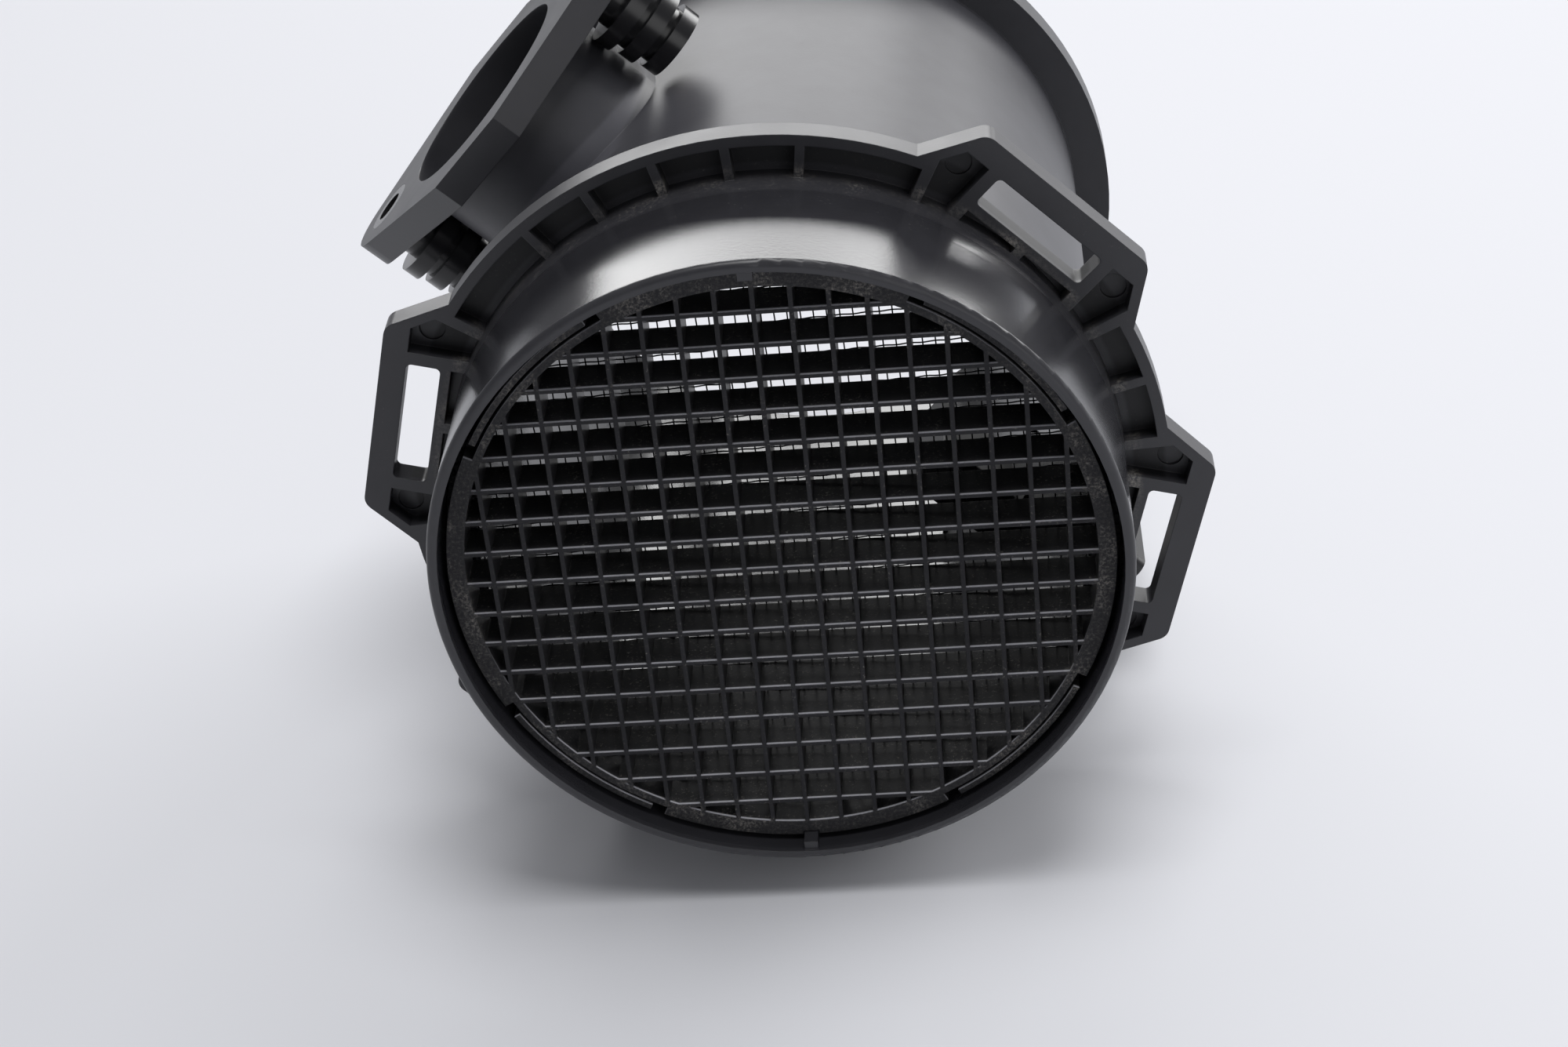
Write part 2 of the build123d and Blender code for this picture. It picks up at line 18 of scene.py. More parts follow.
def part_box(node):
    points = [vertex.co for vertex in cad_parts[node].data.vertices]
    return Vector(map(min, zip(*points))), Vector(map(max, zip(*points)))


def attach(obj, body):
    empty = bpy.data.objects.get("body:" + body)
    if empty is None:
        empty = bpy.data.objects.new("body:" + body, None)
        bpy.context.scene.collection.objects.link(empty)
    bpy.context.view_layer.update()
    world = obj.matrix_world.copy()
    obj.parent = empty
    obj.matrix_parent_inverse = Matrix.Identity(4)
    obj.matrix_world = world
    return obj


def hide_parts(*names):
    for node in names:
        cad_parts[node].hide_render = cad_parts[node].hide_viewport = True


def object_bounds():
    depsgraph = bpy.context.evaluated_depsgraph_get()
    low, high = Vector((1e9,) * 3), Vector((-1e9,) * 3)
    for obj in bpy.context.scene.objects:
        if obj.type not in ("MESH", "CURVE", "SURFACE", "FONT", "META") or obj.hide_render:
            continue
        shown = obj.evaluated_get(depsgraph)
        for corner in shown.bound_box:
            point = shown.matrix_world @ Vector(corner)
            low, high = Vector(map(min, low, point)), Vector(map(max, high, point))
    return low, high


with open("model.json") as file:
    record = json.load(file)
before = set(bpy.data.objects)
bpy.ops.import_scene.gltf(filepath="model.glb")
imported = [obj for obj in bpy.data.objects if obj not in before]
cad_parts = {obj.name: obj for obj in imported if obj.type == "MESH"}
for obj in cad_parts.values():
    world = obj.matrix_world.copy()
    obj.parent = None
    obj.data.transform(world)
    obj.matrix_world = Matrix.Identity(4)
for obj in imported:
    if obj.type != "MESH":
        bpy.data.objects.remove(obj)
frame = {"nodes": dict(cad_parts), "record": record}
nodes = frame["nodes"]
scene = bpy.context.scene
cad_low, cad_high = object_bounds()
print("CAD nodes:", len(nodes))
print("CAD box in mm:", [round(1000 * (b - a), 1) for a, b in zip(cad_low, cad_high)])

# %% [markdown]
# ## Colours and nodes
# A colour is written as the hex value seen on a screen and turned into linear light once,
# here, because Blender mixes light and not screen values. A material could be put together by
# hand in the node editor. In a script one small function is enough: it adds a node, sets what
# it is given and links what is already a socket, so that each material reads as a recipe.

# %% Colours and nodes
MM = 0.001


def colour(hex_code):
    """Linear RGBA of a screen colour such as '#303032'."""
    channels = [int(hex_code[i : i + 2], 16) / 255 for i in (1, 3, 5)]
    linear = [c / 12.92 if c <= 0.04045 else ((c + 0.055) / 1.055) ** 2.4 for c in channels]
    return (*linear, 1.0)


def add(tree, kind, *values, **named):
    """Adds a node. Values fill its inputs in order, and None leaves one as it is. A name in
    small letters is a setting, one with a capital is an input. A socket is linked."""
    node = tree.nodes.new(kind)
    for name, value in named.items():
        if name[0].islower():
            setattr(node, name, value)
    filled = [(node.inputs[i], value) for i, value in enumerate(values) if value is not None]
    filled += [(node.inputs[name.replace("_", " ")], value)
               for name, value in named.items() if name[0].isupper()]
    for socket, value in filled:
        if isinstance(value, bpy.types.NodeSocket):
            tree.links.new(value, socket)
        else:
            socket.default_value = value
    return node


print("screen grey #808080 in linear light:", round(colour("#808080")[0], 3))

# %% [markdown]
# ## Zones on the mouldings
# One moulding shows several finishes: a polished collar, a grained tube, dusty corners. They
# could be painted on an unwrapped map. The duct and its side port are round, though, so a
# zone can simply be a ring: from where to where along an axis, and from which radius to
# which. Materials read Object coordinates, so a zone is a real place on the part.

# %% Zones on the mouldings
PORT_ALONG_MM = 57.0
PORT_ANGLE = math.radians(136.0)
DUCT_AXIS = ((0.0, 0.0, 0.0), (0.0, 1.0, 0.0))
PORT_AXIS = ((0.0, PORT_ALONG_MM * MM, 0.0), (math.cos(PORT_ANGLE), 0.0, math.sin(PORT_ANGLE)))
Zone = namedtuple("Zone", "axis low high inner outer")  # low to high along, inner to outer across


def around(tree, point, axis):
    """Distance from a straight axis, given as a point and a direction, and the place along it."""
    centre, direction = axis
    offset = add(tree, "ShaderNodeVectorMath", point, centre, operation="SUBTRACT").outputs[0]
    along = add(tree, "ShaderNodeVectorMath", offset, direction, operation="DOT_PRODUCT").outputs["Value"]
    reach = add(tree, "ShaderNodeVectorMath", offset, operation="LENGTH").outputs["Value"]
    reach_squared = add(tree, "ShaderNodeMath", reach, reach, operation="MULTIPLY").outputs[0]
    along_squared = add(tree, "ShaderNodeMath", along, along, operation="MULTIPLY").outputs[0]
    across = add(tree, "ShaderNodeMath", reach_squared, along_squared, operation="SUBTRACT").outputs[0]
    across = add(tree, "ShaderNodeMath", across, 0.0, operation="MAXIMUM").outputs[0]
    return add(tree, "ShaderNodeMath", across, operation="SQRT").outputs[0], along


def band(tree, value, low, high, soft):
    """1 between low and high, falling to 0 over the soft width on both sides, in metres."""
    rise = add(tree, "ShaderNodeMapRange", value, low - soft, low + soft, 0.0, 1.0,
               interpolation_type="SMOOTHSTEP").outputs[0]
    fall = add(tree, "ShaderNodeMapRange", value, high - soft, high + soft, 1.0, 0.0,
               interpolation_type="SMOOTHSTEP").outputs[0]
    return add(tree, "ShaderNodeMath", rise, fall, operation="MULTIPLY").outputs[0]


def zone_mask(tree, point, zone, soft_mm):
    """1 inside a zone, whose edge is soft by so many mm."""
    radius, along = around(tree, point, zone.axis)
    lengthwise = band(tree, along, zone.low * MM, zone.high * MM, soft_mm * MM)
    crosswise = band(tree, radius, zone.inner * MM, zone.outer * MM, soft_mm * MM)
    return add(tree, "ShaderNodeMath", lengthwise, crosswise, operation="MULTIPLY").outputs[0]


print("the side port leaves the duct at", PORT_ALONG_MM, "mm")

# %% [markdown]
# ## Skins from the tool, and painted shade and light
# Engine plastics are dark grey, not black, and never even. Where the steel of the mould was
# polished, the part comes out smooth and mirrors light. Where it was textured, the part is
# duller and looks paler. Each could be a material of its own, but then every border would be
# a hard line. A skin is a layer instead: inside its zone another roughness and tone take over.
# The same layer also paints shade and light. A darker tone in pockets and bores is painted
# shade, and a paler tone on the fronts of the grille's bars is painted light.

# %% Skins from the tool, and painted shade and light
Skin = namedtuple("Skin", "zone rough tone")
SKIN_OR_SHADING_EDGE_MM = 0.4


def with_skins_and_shading(tree, point, skins_and_shading, tone, roughness):
    """The tone and the roughness after the tool's skins and the painted shade and light."""
    for skin_or_shading in skins_and_shading:
        mask = zone_mask(tree, point, skin_or_shading.zone, SKIN_OR_SHADING_EDGE_MM)
        roughness = add(tree, "ShaderNodeMix", mask, None, roughness, skin_or_shading.rough,
                        data_type="FLOAT").outputs[0]
        shade = add(tree, "ShaderNodeMix", mask, None, 1.0, skin_or_shading.tone, data_type="FLOAT").outputs[0]
        tone = add(tree, "ShaderNodeMath", tone, shade, operation="MULTIPLY").outputs[0]
    return tone, roughness


print("a skin's border is soft by", SKIN_OR_SHADING_EDGE_MM, "mm")

# %% [markdown]
# ## Painted edge highlights
# A moulded edge is slightly round, and a round edge shines. Rounding every bar of a grille
# would cost many faces. The Bevel node bends only the normal near an edge, so that the edge
# catches a thin line of light. The same bent normal says where a painted highlight goes. It is
# a paler tone on what turns up, which is the edge between a front and a top, and the strip of
# the top that the zone takes in.

# %% Painted edge highlights
PaintedHighlight = namedtuple("PaintedHighlight", "zone tone")
HIGHLIGHT_EDGE_MM = 0.15
FACING_UP = (0.2, 0.6)  # how far up the normal turns where the painted highlight starts and where it is full


def with_painted_highlights(tree, point, edges, highlighted, tone):
    """The tone after a painted highlight on what faces up."""
    for highlight in highlighted:
        upward = add(tree, "ShaderNodeSeparateXYZ", Vector=edges).outputs["Z"]
        facing = add(tree, "ShaderNodeMapRange", upward, *FACING_UP, 0.0, 1.0).outputs[0]
        mask = zone_mask(tree, point, highlight.zone, HIGHLIGHT_EDGE_MM)
        mask = add(tree, "ShaderNodeMath", facing, mask, operation="MULTIPLY").outputs[0]
        shade = add(tree, "ShaderNodeMix", mask, None, 1.0, highlight.tone, data_type="FLOAT").outputs[0]
        tone = add(tree, "ShaderNodeMath", tone, shade, operation="MULTIPLY").outputs[0]
    return tone


print("a rubbed strip's border is soft by", HIGHLIGHT_EDGE_MM, "mm")

# %% [markdown]
# ## Dust
# Air leaves dust on the grille and in corners that nobody wipes. It could be scattered as
# thousands of tiny solids, but a noise pattern in the material looks the same from here. Real
# grains are too fine to show, so the specks are drawn coarser, at half a millimetre. A larger
# pattern gathers them in clumps. Dust is matt, so it takes some of the shine away too.

# %% Dust
Dust = namedtuple("Dust", "zone amount cover")
DUST_COLOUR = "#a29d96"
DUST_ROUGHENS = 0.3
DUST_EDGE_MM = 0.8
SPECK_MM = 0.5
SPECK_SPAN = (0.72, 0.86)  # the noise from which a speck starts, and where it is full
COVER_SHIFT = 0.3  # full cover lowers both by this much, so that more of the noise is speck
CLUMP_SPAN = (0.48, 0.62)
CLUMP_SHARE = (0.2, 1.0)  # the share of dust between clumps and in them


def with_dust(tree, point, mottle, dust, surface, roughness):
    """The colour and the roughness after dust. A Mix node's colours are inputs 6 and 7."""
    speck = add(tree, "ShaderNodeTexNoise", Vector=point, Scale=1 / (SPECK_MM * MM), Detail=6.0,
                Roughness=0.75).outputs[0]
    clumps = add(tree, "ShaderNodeMapRange", mottle, *CLUMP_SPAN, *CLUMP_SHARE).outputs[0]
    for layer in dust:
        low, high = [edge - COVER_SHIFT * layer.cover for edge in SPECK_SPAN]
        grains = add(tree, "ShaderNodeMapRange", speck, low, high, 0.0, layer.amount).outputs[0]
        grains = add(tree, "ShaderNodeMath", grains, clumps, operation="MULTIPLY").outputs[0]
        mask = zone_mask(tree, point, layer.zone, DUST_EDGE_MM)
        factor = add(tree, "ShaderNodeMath", grains, mask, operation="MULTIPLY").outputs[0]
        surface = add(tree, "ShaderNodeMix", factor, *[None] * 5, surface, colour(DUST_COLOUR),
                      data_type="RGBA").outputs[2]
        matt = add(tree, "ShaderNodeMath", factor, DUST_ROUGHENS, operation="MULTIPLY").outputs[0]
        roughness = add(tree, "ShaderNodeMath", roughness, matt, operation="ADD").outputs[0]
    return surface, roughness


print("dust specks are drawn at", SPECK_MM, "mm")

# %% [markdown]
# ## Moulded plastic
# The recipe puts the layers together, from the plastic outwards: the base colour with a slow
# mottling, the tool's skins with painted shade and light, painted highlights on edges, and
# dust. A fine bump stands for the grain of the mould. One recipe serves all three plastics of
# this part, because they differ only in these values.

# %% Moulded plastic
MOTTLE_MM = 6.0
MOTTLE_SPAN = (0.3, 0.7)  # most of the noise lies between these values
MOTTLE_TONE = (0.9, 1.1)
MOTTLE_ROUGH = 0.02
GRAIN_DEPTH_MM = 0.03


def empty_material(name):
    """A material with nothing in its node tree yet."""
    material = bpy.data.materials.new(name)
    material.use_nodes = True
    material.node_tree.nodes.clear()
    return material, material.node_tree


def moulded_plastic(name, base, rough, grain_mm, skins_and_shading=(), highlighted=(), dust=(), edge_mm=0.2, gloss=0.5):
    """Plastic with mottling, grain, rounded edges, the tool's skins with painted shade and light, painted
    edge highlights and dust.
    """
    material, tree = empty_material(name)
    point = add(tree, "ShaderNodeTexCoord").outputs["Object"]
    edges = add(tree, "ShaderNodeBevel", Radius=edge_mm * MM, samples=4).outputs[0]
    mottle = add(tree, "ShaderNodeTexNoise", Vector=point, Scale=1 / (MOTTLE_MM * MM),
                 Detail=4.0).outputs[0]
    tone = add(tree, "ShaderNodeMapRange", mottle, *MOTTLE_SPAN, *MOTTLE_TONE).outputs[0]
    roughness = add(tree, "ShaderNodeMapRange", mottle, *MOTTLE_SPAN, rough - MOTTLE_ROUGH,
                    rough + MOTTLE_ROUGH).outputs[0]
    tone, roughness = with_skins_and_shading(tree, point, skins_and_shading, tone, roughness)
    tone = with_painted_highlights(tree, point, edges, highlighted, tone)
    surface = add(tree, "ShaderNodeVectorMath", colour(base)[:3], Scale=tone,
                  operation="SCALE").outputs[0]
    if dust:
        surface, roughness = with_dust(tree, point, mottle, dust, surface, roughness)
    # Mould grain is about 0.1 mm wide, too fine to show, so it is drawn at the coarser grain_mm.
    grain = add(tree, "ShaderNodeTexNoise", Vector=point, Scale=1 / (grain_mm * MM), Detail=2.0)
    bump = add(tree, "ShaderNodeBump", Height=grain.outputs[0], Strength=0.25,
               Distance=GRAIN_DEPTH_MM * MM, Normal=edges)
    shader = add(tree, "ShaderNodeBsdfPrincipled", Base_Color=surface, Roughness=roughness,
                 Normal=bump.outputs[0], Specular_IOR_Level=gloss)
    add(tree, "ShaderNodeOutputMaterial", Surface=shader.outputs[0])
    return material


print("mottling is drawn at", MOTTLE_MM, "mm")

# %% [markdown]
# ## The housing's plastic
# The housing is polyamide with glass fibre, moulded in one shot. Its collar is smooth,
# because a rubber sleeve seals on it, and it mirrors the lights as a bright band. The tube and
# the port's neck have a grained skin that spreads the same light and looks paler. The bore
# is smooth for the air. The pockets between the ribs and both bores are drawn darker. That is
# painted shade. Dust lies in the cove behind the collar and at the feet of the ribs.

# %% The housing's plastic
COLLAR = Zone(DUCT_AXIS, -17.0, 3.4, 46.5, 60.0)
COVE = Zone(DUCT_AXIS, 4.0, 7.7, 47.4, 50.2)
RIB_FEET = Zone(DUCT_AXIS, 6.2, 8.8, 49.2, 50.9)
FLANGE = Zone(DUCT_AXIS, -2.0, 12.0, 47.0, 70.0)
# Painted shade: the pockets are drawn darker, because little light gets into them.
POCKETS = Zone(DUCT_AXIS, 7.8, 10.7, 50.0, 54.6)
TUBE = Zone(DUCT_AXIS, 11.5, 96.0, 44.0, 49.0)
# Painted shade: both bores are drawn darker inside, the duct's bore much darker than the port's.
DUCT_BORE = Zone(DUCT_AXIS, -8.0, 103.0, -1.0, 43.4)
PORT_NECK = Zone(PORT_AXIS, 44.0, 56.4, 17.2, 22.0)
PORT_BORE = Zone(PORT_AXIS, 40.0, 61.5, -1.0, 16.8)

# Glass-filled polyamide, moulded: dark grey with a satin sheen, paler where it is grained,
# with painted shade in the pockets and the bores.
housing_plastic = moulded_plastic(
    "Glass-filled polyamide", "#333337", rough=0.37, grain_mm=0.5,
    skins_and_shading=[Skin(COLLAR, rough=0.2, tone=0.85), Skin(POCKETS, rough=0.5, tone=0.4),
           Skin(TUBE, rough=0.44, tone=1.6), Skin(DUCT_BORE, rough=0.17, tone=0.25),
           Skin(PORT_NECK, rough=0.44, tone=1.6), Skin(PORT_BORE, rough=0.3, tone=0.8)],
    dust=[Dust(COVE, amount=0.22, cover=0.7), Dust(RIB_FEET, amount=0.6, cover=1.0),
          Dust(FLANGE, amount=0.3, cover=0.4)])
print(housing_plastic.name, "with", len(housing_plastic.node_tree.nodes), "nodes")

# %% [markdown]
# ## The grille's and the module's plastic
# The grille is a thin-walled polyamide moulding, darker and duller than the housing, which
# keeps its cells dark. The front millimetre of its bars is drawn paler than the rest. That is
# painted light on the fronts, with painted shade in the cells. The front edges of the bars are
# rounded and catch thin pale lines of light. That rounding is too fine to model on every bar,
# so the recipe paints these lines as highlights. The sensor module is a plain black polyester
# moulding.

# %% The grille's and the module's plastic
# Painted light and shade: the front millimetre of the bars is drawn paler than their depth.
BAR_FRONTS = Zone(DUCT_AXIS, -15.9, -14.9, -1.0, 60.0)
# Painted highlight: the upper front edges of the bars are drawn much paler.
BAR_EDGES = Zone(DUCT_AXIS, -15.9, -14.7, -1.0, 60.0)
BARS = Zone(DUCT_AXIS, -16.0, -4.0, -1.0, 60.0)
GRILLE_FRAME = Zone(DUCT_AXIS, -17.0, -14.0, 43.4, 47.2)

# Moulded polyamide with dusty, almost matt walls. The cells stay dark, the bar fronts are
# painted paler as light, and the edges carry painted highlights.
grille_plastic = moulded_plastic(
    "Moulded grille polyamide", "#2c2c2e", rough=0.3, grain_mm=0.5, edge_mm=0.25, gloss=0.04,
    skins_and_shading=[Skin(BAR_FRONTS, rough=0.3, tone=1.4)], highlighted=[PaintedHighlight(BAR_EDGES, tone=18.0)],
    dust=[Dust(BARS, amount=0.8, cover=0.5), Dust(GRILLE_FRAME, amount=0.3, cover=0.9)])

# Polyester moulding: an even, slightly matt black.
module_plastic = moulded_plastic("Black polyester moulding", "#202022", rough=0.42, grain_mm=0.4)
print("plastics:", housing_plastic.name, grille_plastic.name, module_plastic.name)

# %% [markdown]
# ## Simple finishes
# The small pieces are metals, rubber, resin and board materials. They are small or hidden,
# so one colour, one roughness and whether it is a metal are enough. The record of the CAD
# model names a material slot for every node, and the finish with that name goes on it.

# %% Simple finishes


def plain(name, hex_code, rough, metal=0.0):
    """A finish with one colour all over."""
    material, tree = empty_material(name)
    shader = add(tree, "ShaderNodeBsdfPrincipled", Base_Color=colour(hex_code), Roughness=rough,
                 Metallic=metal)
    add(tree, "ShaderNodeOutputMaterial", Surface=shader.outputs[0])
    return material


finishes = {
    "housing_plastic": housing_plastic,
    "grille_plastic": grille_plastic,
    "module_plastic": module_plastic,
    # Drawn steel, dulled by air and dust: thin dark threads against the light.
    "mesh_wire": plain("Drawn steel wire", "#363638", 0.45, 1.0),
    # Polyamide from a polished mould: black with sharp glints on the ribs.
    "insert_plastic": plain("Glossy black polyamide", "#1e1e20", 0.24),
    # Turned brass: warm yellow with a soft shine.
    "brass": plain("Turned brass", "#b89656", 0.3, 1.0),
    # Moulded rubber: black and matt.
    "seal_rubber": plain("Moulded rubber", "#1b1b1c", 0.6),
    # Zinc-plated steel: pale grey with a soft shine.
    "plated_steel": plain("Plated steel", "#b4b4b2", 0.32, 1.0),
    # Coated silicon: smooth blue-grey.
    "chip_ceramic": plain("Thin-film chip", "#5a6270", 0.25),
    # Cast resin: a glossy brown-black drop.
    "bead_resin": plain("Dark resin", "#26221f", 0.2),
    # Rolled aluminium: bright grey, softly blurred.
    "heat_plate_aluminium": plain("Aluminium sheet", "#c6c6c8", 0.35, 1.0),
    # Glass laminate under green solder mask: satin green.
    "board_laminate": plain("Board laminate", "#1f5a38", 0.4),
    # Moulded epoxy: matt black.
    "board_parts_plastic": plain("Chip package", "#1a1a1c", 0.45),
    # Tin on brass: pale metal with a warm tinge.
    "terminal_metal": plain("Tinned brass", "#cfc8b4", 0.28, 1.0),
}
for entry in frame["record"]["subparts"]:
    mesh = nodes[entry["node"]].data
    mesh.materials.clear()
    mesh.materials.append(finishes[entry["material_slot"]])

# %% [markdown]
# ## Wires of the mesh
# Behind the grille a cloth of fine steel wire evens out the flow. It is woven like fabric:
# each wire goes over one neighbour and under the next. It could be a picture on a disc, but
# then light would not pass between the wires. Geometry Nodes repeats one wire, trims each copy
# to the round frame and waves it. One formula serves both directions: the product of two
# cosines is +1 and -1 on alternate crossings, so wires one way take it as it is and wires
# the other way take its negative.

# %% Wires of the mesh
SMALLEST_SQUARE = 1e-9  # keeps the root below from a number under zero


def wire_layer(tree, given, count, first, side, turn):
    """Parallel wires in a round frame, waved over and under, then turned to their direction."""
    pitch, frame_radius = given.outputs["Pitch"], given.outputs["Radius"]
    start = add(tree, "ShaderNodeCombineXYZ", X=first).outputs[0]
    step = add(tree, "ShaderNodeCombineXYZ", X=pitch).outputs[0]
    row = add(tree, "GeometryNodeMeshLine", Count=count, Start_Location=start, Offset=step)
    unit = add(tree, "GeometryNodeCurvePrimitiveLine", Start=(0.0, 0.0, -0.5), End=(0.0, 0.0, 0.5))
    points = add(tree, "ShaderNodeMath", count, 2.0, operation="MULTIPLY").outputs[0]
    fine = add(tree, "GeometryNodeResampleCurve", Curve=unit.outputs[0], Count=points)

    # A wire at x is as long as the chord there: twice the root of radius squared less x squared.
    place = add(tree, "GeometryNodeInputPosition").outputs[0]
    x = add(tree, "ShaderNodeSeparateXYZ", Vector=place).outputs["X"]
    radius_squared = add(tree, "ShaderNodeMath", frame_radius, frame_radius, operation="MULTIPLY").outputs[0]
    x_squared = add(tree, "ShaderNodeMath", x, x, operation="MULTIPLY").outputs[0]
    left = add(tree, "ShaderNodeMath", radius_squared, x_squared, operation="SUBTRACT").outputs[0]
    left = add(tree, "ShaderNodeMath", left, SMALLEST_SQUARE, operation="MAXIMUM").outputs[0]
    half = add(tree, "ShaderNodeMath", left, operation="SQRT").outputs[0]
    chord = add(tree, "ShaderNodeMath", half, 2.0, operation="MULTIPLY").outputs[0]
    size = add(tree, "ShaderNodeCombineXYZ", X=1.0, Y=1.0, Z=chord).outputs[0]
    wires = add(tree, "GeometryNodeInstanceOnPoints", Points=row.outputs[0], Instance=fine.outputs[0],
                Scale=size)
    real = add(tree, "GeometryNodeRealizeInstances", Geometry=wires.outputs[0])

    # The wave of the weave, one wire radius to each side.
    here = add(tree, "GeometryNodeInputPosition").outputs[0]
    parts = add(tree, "ShaderNodeSeparateXYZ", Vector=here)
    waves = []
    for direction in ("X", "Z"):
        steps = add(tree, "ShaderNodeMath", parts.outputs[direction], pitch, operation="DIVIDE").outputs[0]
        angle = add(tree, "ShaderNodeMath", steps, math.pi, operation="MULTIPLY").outputs[0]
        waves.append(add(tree, "ShaderNodeMath", angle, operation="COSINE").outputs[0])
    wave = add(tree, "ShaderNodeMath", *waves, operation="MULTIPLY").outputs[0]
    height = add(tree, "ShaderNodeMath", given.outputs["Wire radius"], side, operation="MULTIPLY").outputs[0]
    rise = add(tree, "ShaderNodeMath", wave, height, operation="MULTIPLY").outputs[0]
    lift = add(tree, "ShaderNodeCombineXYZ", Y=rise).outputs[0]
    woven = add(tree, "GeometryNodeSetPosition", Geometry=real.outputs[0], Offset=lift)
    return add(tree, "GeometryNodeTransform", Geometry=woven.outputs[0], Rotation=(0.0, turn, 0.0)).outputs[0]


print("a wire is drawn with two points for every wire that it crosses")

# %% [markdown]
# ## The woven cloth
# Two layers at right angles make the cloth, and a small circle swept along every wire gives it
# thickness. The pitch is the one that shows in the bright slots between the bars. The tree
# has named inputs for its sizes, so that the same cloth can be made finer or wider.

# %% The woven cloth
WIRE_SIDES = 5


def cloth_tree(wire_material):
    """Geometry Nodes: a round piece of woven cloth in the XZ plane."""
    tree = bpy.data.node_groups.new("Woven wire cloth", "GeometryNodeTree")
    for label, value in (("Pitch", 1.75 * MM), ("Wire radius", 0.11 * MM), ("Radius", 45.0 * MM),
                         ("Along flow", 0.0), ("Turn", 0.0)):
        socket = tree.interface.new_socket(label, in_out="INPUT", socket_type="NodeSocketFloat")
        socket.default_value = value
    tree.interface.new_socket("Geometry", in_out="OUTPUT", socket_type="NodeSocketGeometry")
    given = add(tree, "NodeGroupInput")
    pitch = given.outputs["Pitch"]

    # As many wires as fit on both sides of the middle one, and the place of the first.
    fits = add(tree, "ShaderNodeMath", given.outputs["Radius"], pitch, operation="DIVIDE").outputs[0]
    fits = add(tree, "ShaderNodeMath", fits, operation="FLOOR").outputs[0]
    both_sides = add(tree, "ShaderNodeMath", fits, 2.0, operation="MULTIPLY").outputs[0]
    count = add(tree, "ShaderNodeMath", both_sides, 1.0, operation="ADD").outputs[0]
    back = add(tree, "ShaderNodeMath", both_sides, -2.0, operation="DIVIDE").outputs[0]
    first = add(tree, "ShaderNodeMath", back, pitch, operation="MULTIPLY").outputs[0]

    both = add(tree, "GeometryNodeJoinGeometry")
    for side, turn in ((1.0, 0.0), (-1.0, math.pi / 2)):
        tree.links.new(wire_layer(tree, given, count, first, side, turn), both.inputs[0])
    profile = add(tree, "GeometryNodeCurvePrimitiveCircle", Resolution=WIRE_SIDES,
                  Radius=given.outputs["Wire radius"])
    tubes = add(tree, "GeometryNodeCurveToMesh", Curve=both.outputs[0], Profile_Curve=profile.outputs[0])
    shift = add(tree, "ShaderNodeCombineXYZ", Y=given.outputs["Along flow"]).outputs[0]
    spin = add(tree, "ShaderNodeCombineXYZ", Y=given.outputs["Turn"]).outputs[0]
    placed = add(tree, "GeometryNodeTransform", Geometry=tubes.outputs[0], Translation=shift, Rotation=spin)
    whole = add(tree, "GeometryNodeRealizeInstances", Geometry=placed.outputs[0])
    painted = add(tree, "GeometryNodeSetMaterial", Geometry=whole.outputs[0], Material=wire_material)
    add(tree, "NodeGroupOutput", painted.outputs[0])
    return tree


woven_cloth = cloth_tree(finishes["mesh_wire"])
print("cloth tree:", len(woven_cloth.nodes), "nodes")

# %% [markdown]
# ## Placing the cloth
# On the real part the cloth is cut to a disc and clamped behind the grille. Here the tree
# runs once with the sizes of the CAD model's flat screen, and its result is kept as a plain
# mesh in that screen's place, because an export takes meshes and not live trees.

# %% Placing the cloth
CLOTH_MARGIN = 0.2 * MM
CLOTH_TURN = math.radians(-2.2)  # the cloth was laid in slightly askew


def grown(name, tree, values, material):
    """Runs a Geometry Nodes tree once and keeps its result as a plain mesh."""
    seed = bpy.data.objects.new(name + " seed", bpy.data.meshes.new(name + " seed"))
    scene.collection.objects.link(seed)
    modifier = seed.modifiers.new("grow", "NODES")
    modifier.node_group = tree
    for item in tree.interface.items_tree:
        if item.in_out == "INPUT" and item.name in values:
            modifier[item.identifier] = values[item.name]
    depsgraph = bpy.context.evaluated_depsgraph_get()
    mesh = bpy.data.meshes.new_from_object(seed.evaluated_get(depsgraph))
    mesh.name = name
    bpy.data.objects.remove(seed)
    mesh.materials.clear()
    mesh.materials.append(material)
    piece = bpy.data.objects.new(name, mesh)
    scene.collection.objects.link(piece)
    return piece


mesh_low, mesh_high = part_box("mesh_screen")
cloth = grown("wire_cloth", woven_cloth,
              {"Radius": mesh_high.x - CLOTH_MARGIN, "Along flow": (mesh_low.y + mesh_high.y) / 2,
               "Turn": CLOTH_TURN},
              finishes["mesh_wire"])
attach(cloth, "root")
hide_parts("mesh_screen")
print("woven cloth faces:", len(cloth.data.polygons))

# %% [markdown]
# ## Floor and room
# The part lies on a pale matt sheet. The room around it is a plain, dim white. A brighter
# room would fill every cell of the grille with grey, so the pale picture comes from the sheet's
# own colour.

# %% Floor and room
FLOOR_GAP = 0.4 * MM
FLOOR_SIZE = 8.0
ROOM_STRENGTH = 0.2
floor_height = cad_low.z - FLOOR_GAP
bpy.ops.mesh.primitive_plane_add(size=FLOOR_SIZE, location=(0, 0, floor_height))
floor = bpy.context.object
floor.name = "pale sheet"
# Matt paper: pale, faintly blue, with no shine.
floor.data.materials.append(plain("Pale matt sheet", "#dfe0e5", 0.9))

world = bpy.data.worlds.new("Soft white room")
scene.world = world
world.use_nodes = True
world.node_tree.nodes.clear()
sky = add(world.node_tree, "ShaderNodeBackground", Color=colour("#f4f5fa"), Strength=ROOM_STRENGTH)
add(world.node_tree, "ShaderNodeOutputWorld", Surface=sky.outputs[0])
print("floor at", round(floor_height / MM, 2), "mm, room strength", ROOM_STRENGTH)

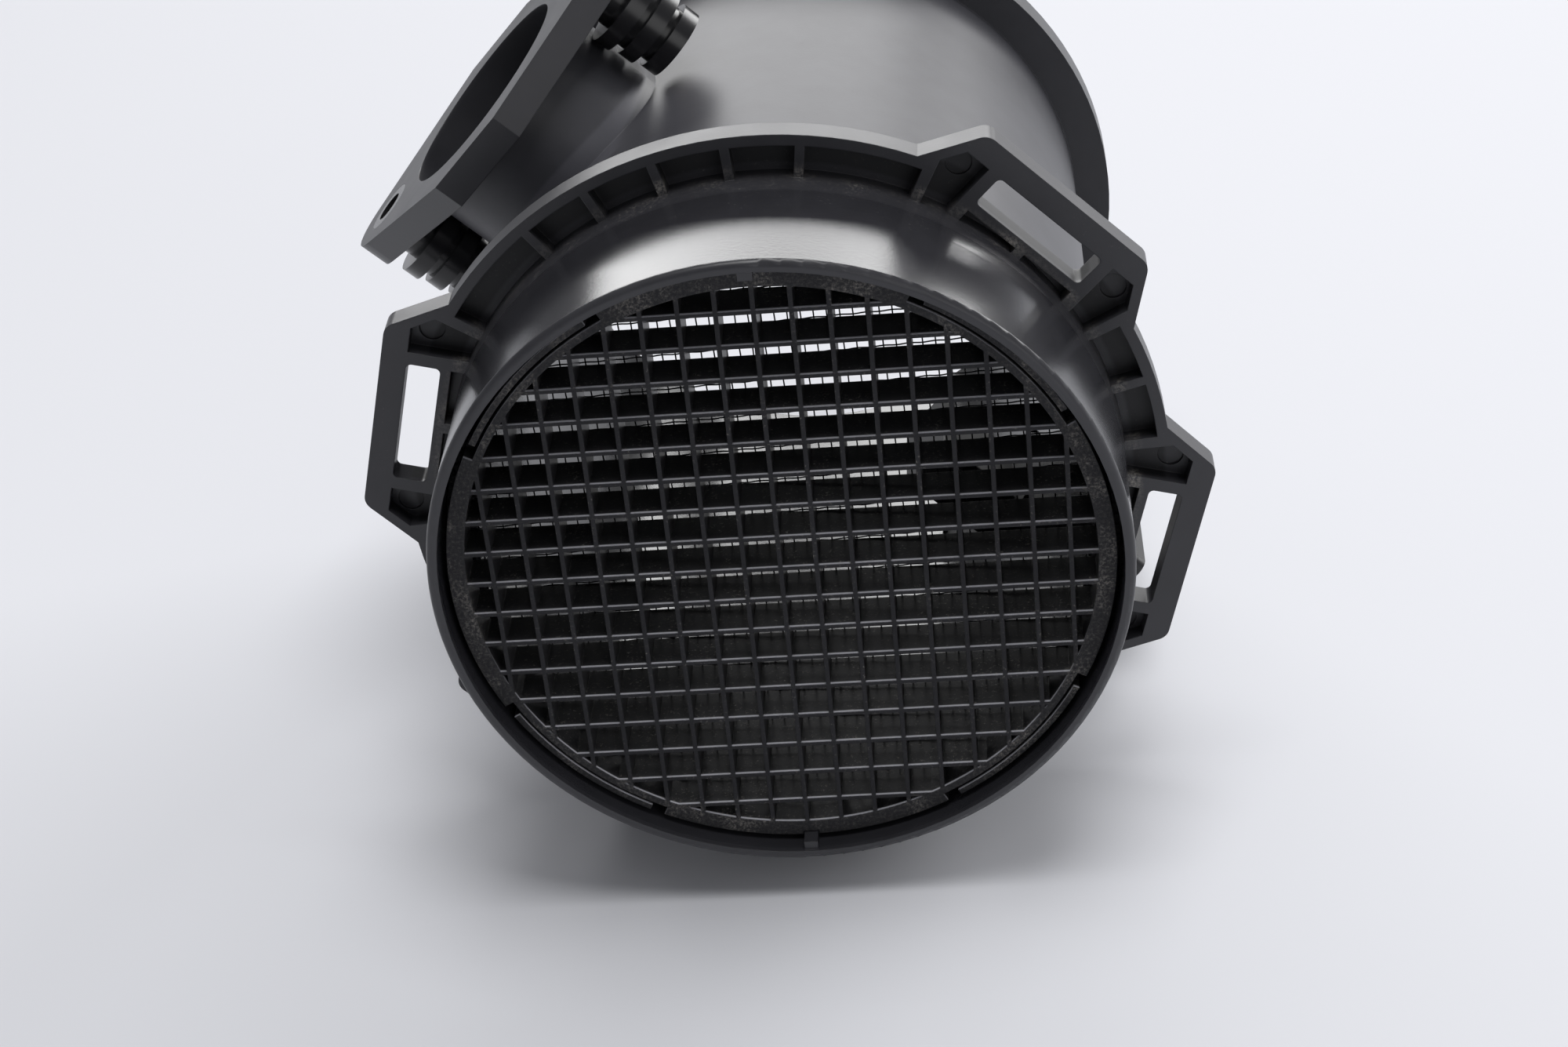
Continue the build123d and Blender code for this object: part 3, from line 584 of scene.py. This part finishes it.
# %% [markdown]
# ## Lights
# Dark plastic shows its form by what it mirrors. Two wide softboxes stand low behind the
# part, and the collar and the tube mirror them as bright bands. A small softbox overhead keeps
# the shadow close under the collar. A weak one at the front right picks out the port's neck
# and its ribbed inserts. Stronger light would only wash out the sheet.

# %% Lights
DUCT_MIDDLE = (0.0, 0.04, 0.0)
Softbox = namedtuple("Softbox", "place target width height watts")
softboxes = {
    "Back softbox": Softbox((-0.20, 2.16, 0.84), DUCT_MIDDLE, width=1.9, height=0.74, watts=27.0),
    "Right back softbox": Softbox((1.72, 1.50, 0.86), DUCT_MIDDLE, width=2.0, height=0.78, watts=36.0),
    "Top softbox": Softbox((0.1, -0.05, 1.2), (0.0, 0.0, 0.0), width=0.6, height=0.6, watts=9.0),
    "Front right softbox": Softbox((1.05, -1.48, 0.53), DUCT_MIDDLE, width=1.2, height=0.9, watts=3.6),
}
for name, box in softboxes.items():
    lamp = bpy.data.lights.new(name, "AREA")
    lamp.shape = "RECTANGLE"
    lamp.size = box.width
    lamp.size_y = box.height
    lamp.energy = box.watts
    holder = bpy.data.objects.new(name, lamp)
    scene.collection.objects.link(holder)
    aim = Vector(box.target) - Vector(box.place)
    holder.location = box.place
    holder.rotation_euler = aim.to_track_quat("-Z", "Y").to_euler()
    print(name, "at", round(aim.length, 2), "m with", box.watts, "W")

# %% [markdown]
# ## Camera
# The photograph was taken from above the inlet. Its camera was found from the square cells of
# the grille: their corners lie on a plane with a known pitch, so their places in the picture
# give the lens and the point of view. Two directions, right and up in the picture, fix how
# the camera is turned.

# %% Camera
CAMERA_PLACE_MM = Vector((32.00, -350.57, 214.91))
PICTURE_RIGHT = Vector((0.99536, 0.03651, -0.08900))
PICTURE_UP = Vector((0.05631, 0.52903, 0.84673))
camera_data = bpy.data.cameras.new("Photo camera")
camera_data.sensor_width = 36.0
camera_data.lens = 66.51
camera_data.clip_start = 0.01
camera_data.clip_end = 20.0
camera = bpy.data.objects.new("Photo camera", camera_data)
scene.collection.objects.link(camera)
towards_viewer = PICTURE_RIGHT.cross(PICTURE_UP)
turn = Matrix((PICTURE_RIGHT, PICTURE_UP, towards_viewer)).transposed().to_4x4()
camera.matrix_world = Matrix.Translation(CAMERA_PLACE_MM * MM) @ turn
scene.camera = camera
scene.view_settings.view_transform = "Standard"
print("camera looks down by", round(math.degrees(math.asin(towards_viewer.normalized().z))), "degrees from",
      round(CAMERA_PLACE_MM.length), "mm away")
